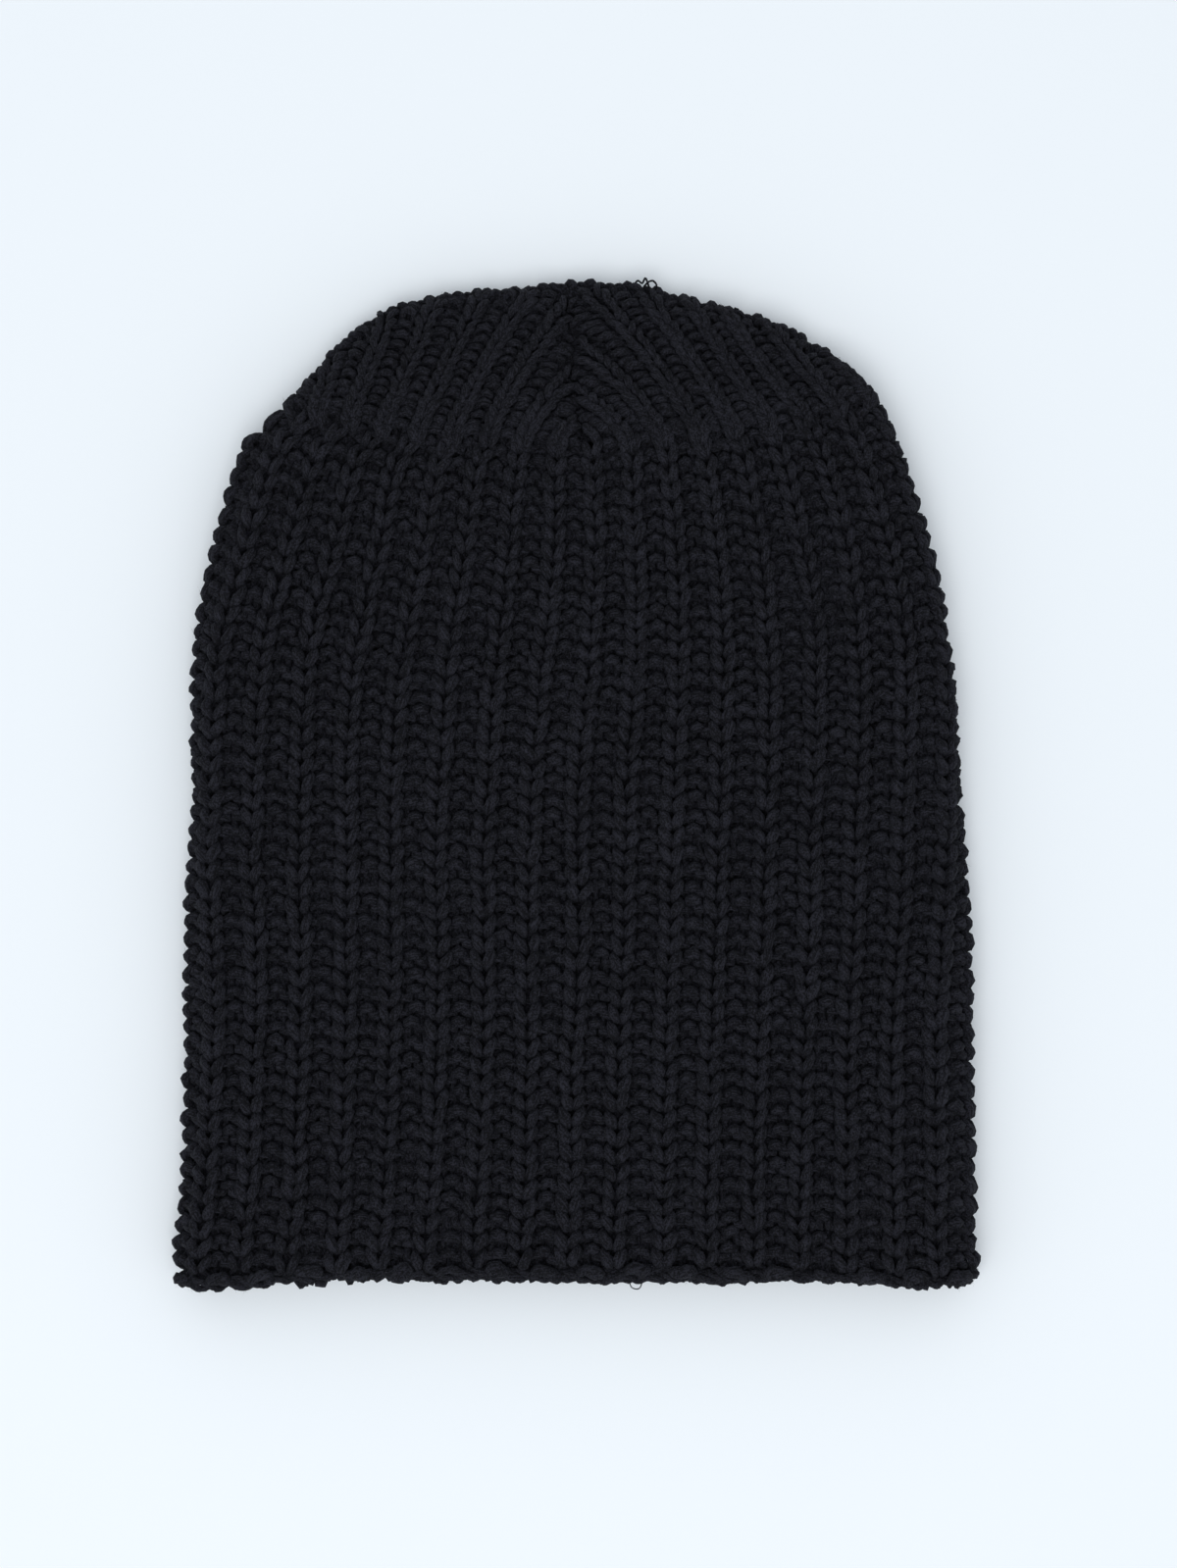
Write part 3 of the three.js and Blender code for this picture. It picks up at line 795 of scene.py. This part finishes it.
def bindingLine(side, start):
    # a strand of the chain that links the front to the back: it winds round the outline's own line
    line = outline["top"]
    gone = np.concatenate([[0], np.cumsum(np.linalg.norm(np.diff(line, axis=0), axis=1))])
    place = np.arange(0, gone[-1], binding["pitch"] / binding["steps"])
    x, y = (np.interp(place, gone, line[:, axis]) for axis in (0, 1))
    along = unit(np.stack([np.gradient(x), np.gradient(y)], 1))
    out = np.stack([-along[:, 1], along[:, 0], x * 0], 1)
    level = np.interp(y, loftTable["y"], loftTable["half"]) + hat["crownCrest"]
    chance = np.random.default_rng(binding["seed"] + int(start))
    every = binding["strayEvery"]
    knots = chance.normal(0, binding["stray"], (len(place) // every + 2, 2))
    stray = 1 + smoothCurve(knots, every)[:len(place)]
    swing = binding["swing"] * stray
    turn = start + place / binding["pitch"] * math.tau
    middle = np.stack([x, y, level], 1) + out * (binding["out"] + swing[:, :1] * np.cos(turn)[:, None])
    middle[:, 2] += binding["swingUp"] * swing[:, 1] * np.sin(turn)
    split = int(np.argmax(x > seamTable["x"][-1]))
    part = slice(None, split + 1) if side < 0 else slice(split, None)
    up = np.broadcast_to(np.array([0.0, 0.0, 1.0]), middle.shape)
    girth = binding["yarn"] / 2 * stray[:, 0]
    return {"centre": middle[None, part], "side": up[None, part], "girth": girth[None, part]}


rings, strand = yarnRings(crownLines, crownLook["twist"], crownLook["lumps"])
coreRibs = np.linspace(0, ribsToFold, ribsToFold * crownLook["corePerRib"] + 1)
# a little past the seam, so that the seam is a groove and not a slit
coreShares = np.linspace(0, crownLook["corePast"], crownLook["coreRows"])
for name, node, side, face in (("crownFrontLeft", "crown_front_left", -1, 1),
                               ("crownFrontRight", "crown_front_right", 1, 1),
                               ("crownBackLeft", "crown_back_left", -1, -1),
                               ("crownBackRight", "crown_back_right", 1, -1)):
    parts = [tube(rings[row, first:last], strand[row, first:last]) for row, first, last in runs
             if gore[row, first] == goreKey(side, face)]
    if face > 0:
        for start in (0.0, math.pi):
            bound, lay = yarnRings(bindingLine(side, start), crownLook["twist"])
            parts.append(tube(bound[0], lay[0]))
    if name == "crownFrontRight":
        parts += looseTubes("tip")
    parts.append(core(goreSurface(side, face), coreRibs, coreShares, crownLook["coreDepth"],
                      crownLook["coreAtFold"]))
    yarnPiece(name, parts, crownYarn, "crown_yarn", node)
report("crown")

# Hem: a row of big loops over the sunk ribs, and under it a cord of two strands
hemEdge = {
    "seed": 90, "twist": 0.35,
    "cordUp": -0.03, "cordHigh": 0.17,     # the cord's middle and its swing up and down, in rows
    "cordOut": 0.6, "cordBulge": 0.8,      # its swing in and out, and how round its bends are
    "cordYarn": 1.8, "cordLump": 0.2, "cordKnots": 12, "cordSteps": 24,
}
quiet = {"across": 0.04, "up": 0.09, "out": 0.25, "girth": 0.16}
hemLoop = {
    "yarn": 2.7, "pitch": bodyStitch["pitch"], "rowPitch": bodyStitch["rowPitch"], "steps": 18,
    "knit": [(-3.4, 0.1, -0.6, 0.9), (0.0, 0.1, -1.0, 0.9), (3.4, 0.1, -0.6, 0.9)],
    "purl": [(-2.7, 0.1, 0.3, 1.05), (-1.3, 0.24, 1.5, 1.45),
             (1.3, 0.24, 1.5, 1.45), (2.7, 0.1, 0.3, 1.05)],
    "jitter": quiet, "wander": quiet, "sunkStray": 0.0,
    "byRow": {"row": [0], "girth": [1], "lift": [0.3]},
}


def cordStrand(start):
    # one strand of the cord: it goes up and down and in and out once in a rib, with full bends at its top
    # and bottom, and is thickest at the bottom
    pitch = bodyStitch["pitch"]
    share = np.arange(hemEdge["cordKnots"]) / hemEdge["cordKnots"]
    turn = start + share * math.tau
    across = share * pitch - pitch / 2 - hemEdge["cordBulge"] * (np.sin(2 * turn) - np.sin(2 * start))
    up = hemEdge["cordUp"] + hemEdge["cordHigh"] * np.cos(turn)
    out = hemEdge["cordOut"] * np.sin(turn)
    knots = np.stack([across, up, out, 1 - hemEdge["cordLump"] * np.cos(turn)], 1)
    return dict(hemLoop, yarn=hemEdge["cordYarn"], steps=hemEdge["cordSteps"], knots=knots,
                byRow={"row": [0], "girth": [1], "lift": [0.1]})


hemParts = looseTubes("hem")
hemLines = []
for number, stitch in enumerate((hemLoop, cordStrand(0.0), cordStrand(math.pi))):
    # both strands of the cord stray alike, so that they keep clear of each other
    lines = courses(bodySurface, stitch, [0], hemEdge["seed"] + min(number, 1))
    hemLines.append(lines)
    rings, strand = yarnRings(lines, hemEdge["twist"])
    hemParts.append(tube(rings[0, 1:-1], strand[0, 1:-1]))
yarnPiece("hemEdge", hemParts, ribYarn, "rib_yarn", "hem_edge")
report("hem")

# Fuzz: short fibres that lie along the yarn and lift off it at their ends
fuzz = {
    "seed": 7,
    "bodyCount": 27000, "crownCount": 12600, "hemCount": 1800,
    "steps": 2, "margin": 2,               # a fibre's steps along the yarn, and those left free beyond it
    "width": 0.08, "taper": 1.15,
    "clear": 0.04, "lift": 0.3,            # how far its middle and its ends stand off
    "stray": 1.0, "strayPower": 12,        # how far the longest stand off, and how few they are
    "spread": 1.3, "sway": 0.5,            # where it lies round the yarn, and how it drifts there (radians)
    "tones": 40,
}


def fuzzRibbons(lines, count, seed, where=None):
    # from a chance spot on a chance side of the yarn, on along it, with a narrow strip's two edges
    chance = np.random.default_rng(seed)
    centre, normal, girth = lines["centre"], lines["normal"], lines["girth"]
    steps, margin = fuzz["steps"], fuzz["margin"]
    row = chance.integers(0, centre.shape[0], count)
    first = chance.integers(margin, centre.shape[1] - steps - margin - 1, count)
    step = np.arange(steps + 1)
    if where is not None:
        start, end = where[row, first - margin], where[row, first + steps + margin]
        whole = (start != 0) & (start == end)
        row, first = row[whole], first[whole]
        count = len(row)
    spot = first[:, None] + step
    at = centre[row[:, None], spot]
    along = unit(centre[row[:, None], spot + 1] - centre[row[:, None], spot - 1])
    up = normal[row[:, None], spot]
    up = unit(up - along * (up * along).sum(2, keepdims=True))
    over = np.cross(along, up)
    turn = chance.uniform(-fuzz["spread"], fuzz["spread"], count)[:, None]
    turn = turn + step * chance.normal(0, fuzz["sway"], count)[:, None]
    way = up * np.cos(turn)[..., None] + over * np.sin(turn)[..., None]
    bow = np.abs(step / steps * 2 - 1) ** 2
    free = chance.uniform(0, 1, count)
    lift = fuzz["lift"] * free + fuzz["stray"] * free**fuzz["strayPower"]
    lift = fuzz["clear"] + lift[:, None] * bow
    line = at + way * (girth[row[:, None], spot] + lift)[..., None]
    edge = np.cross(along, way) * (fuzz["width"] / 2 * (fuzz["taper"] - bow))[..., None]
    points = np.stack([line - edge, line + edge], 2)
    corner = np.arange(count * len(step) * 2).reshape(count, len(step), 2)
    quads = np.stack([corner[:, :-1, 0], corner[:, 1:, 0], corner[:, 1:, 1], corner[:, :-1, 1]], -1)
    tone = np.repeat(chance.uniform(0, fuzz["tones"], (count, 1, 3)), len(step) * 2, 1)
    return points.reshape(-1, 3), quads.reshape(-1, 4)[:, ::-1], tone.reshape(-1, 3)


parts = [fuzzRibbons(bodyLines, fuzz["bodyCount"], fuzz["seed"]),
         fuzzRibbons(crownLines, fuzz["crownCount"], fuzz["seed"] + 1, gore)]
parts += [fuzzRibbons(lines, fuzz["hemCount"], seed)
          for seed, lines in enumerate(hemLines, fuzz["seed"] + 2)]
yarnPiece("fibres", parts, fibrePaintedHighlightYarn, "rib_yarn")
report("fuzz")

# Floor, light and camera
studio = {
    "floor": (0.80, 0.855, 0.905, 1), "floorRoughness": 0.9,
    "floorHalf": 3.0,              # metres
    "lamp": {"place": (-0.18, -0.5, 1.7), "aim": (0, 0.1, 0), "size": 1.1, "power": 12,
             "colour": (1.0, 0.98, 0.96)},
    "world": (0.96, 0.98, 1.0, 1), "worldStrength": 0.8,
    "sensor": 36,                  # along the photo's long side
    "photoSpan": 431.7,            # what the photo's height covers on the hat's middle
    "cameraHeight": 900.0,         # above the hat's middle
    "hatMiddle": 9.5,
    "lookAt": (3.38, 0.11),
    "clipEnd": 20,
}
floorMesh = bpy.data.meshes.new("floor")
half = studio["floorHalf"]
floorMesh.from_pydata([(-half, -half, 0), (half, -half, 0), (half, half, 0), (-half, half, 0)], [],
                      [(0, 1, 2, 3)])
floor = bpy.data.objects.new("floor", floorMesh)
bpy.context.scene.collection.objects.link(floor)
floorNodes = Nodes("paleFloor")
floorPaint = {"Base Color": studio["floor"], "Roughness": studio["floorRoughness"]}
floorShader = floorNodes.add("ShaderNodeBsdfPrincipled", None, floorPaint)
floorNodes.add("ShaderNodeOutputMaterial", None, [floorShader])
floorMesh.materials.append(floorNodes.material)


def addLight(name, look):
    # an area light, tipped from straight down by the angle of its aim and then turned to the aim's side
    light = bpy.data.lights.new(name, "AREA")
    light.size, light.energy, light.color = look["size"], look["power"], look["colour"]
    holder = bpy.data.objects.new(name, light)
    bpy.context.scene.collection.objects.link(holder)
    holder.location = look["place"]
    way = np.array(look["aim"]) - np.array(look["place"])
    way = way / np.linalg.norm(way)
    pitch = math.acos(-way[2])
    holder.rotation_euler = (pitch, 0, math.atan2(way[1], way[0]) - math.pi / 2)


addLight("softbox", studio["lamp"])

world = bpy.data.worlds.new("studio")
world.use_nodes = True
background = world.node_tree.nodes["Background"]
background.inputs["Color"].default_value = studio["world"]
background.inputs["Strength"].default_value = studio["worldStrength"]
bpy.context.scene.world = world
bpy.context.scene.view_settings.view_transform = "Standard"

view = bpy.data.cameras.new("photoCamera")
view.sensor_width = studio["sensor"]
view.lens = studio["sensor"] * studio["cameraHeight"] / studio["photoSpan"]
view.clip_end = studio["clipEnd"]
camera = bpy.data.objects.new("photoCamera", view)
lookX, lookY = studio["lookAt"]
camera.location = (lookX * mm, lookY * mm, (studio["cameraHeight"] + studio["hatMiddle"]) * mm)
bpy.context.scene.collection.objects.link(camera)
bpy.context.scene.camera = camera
report("studio")
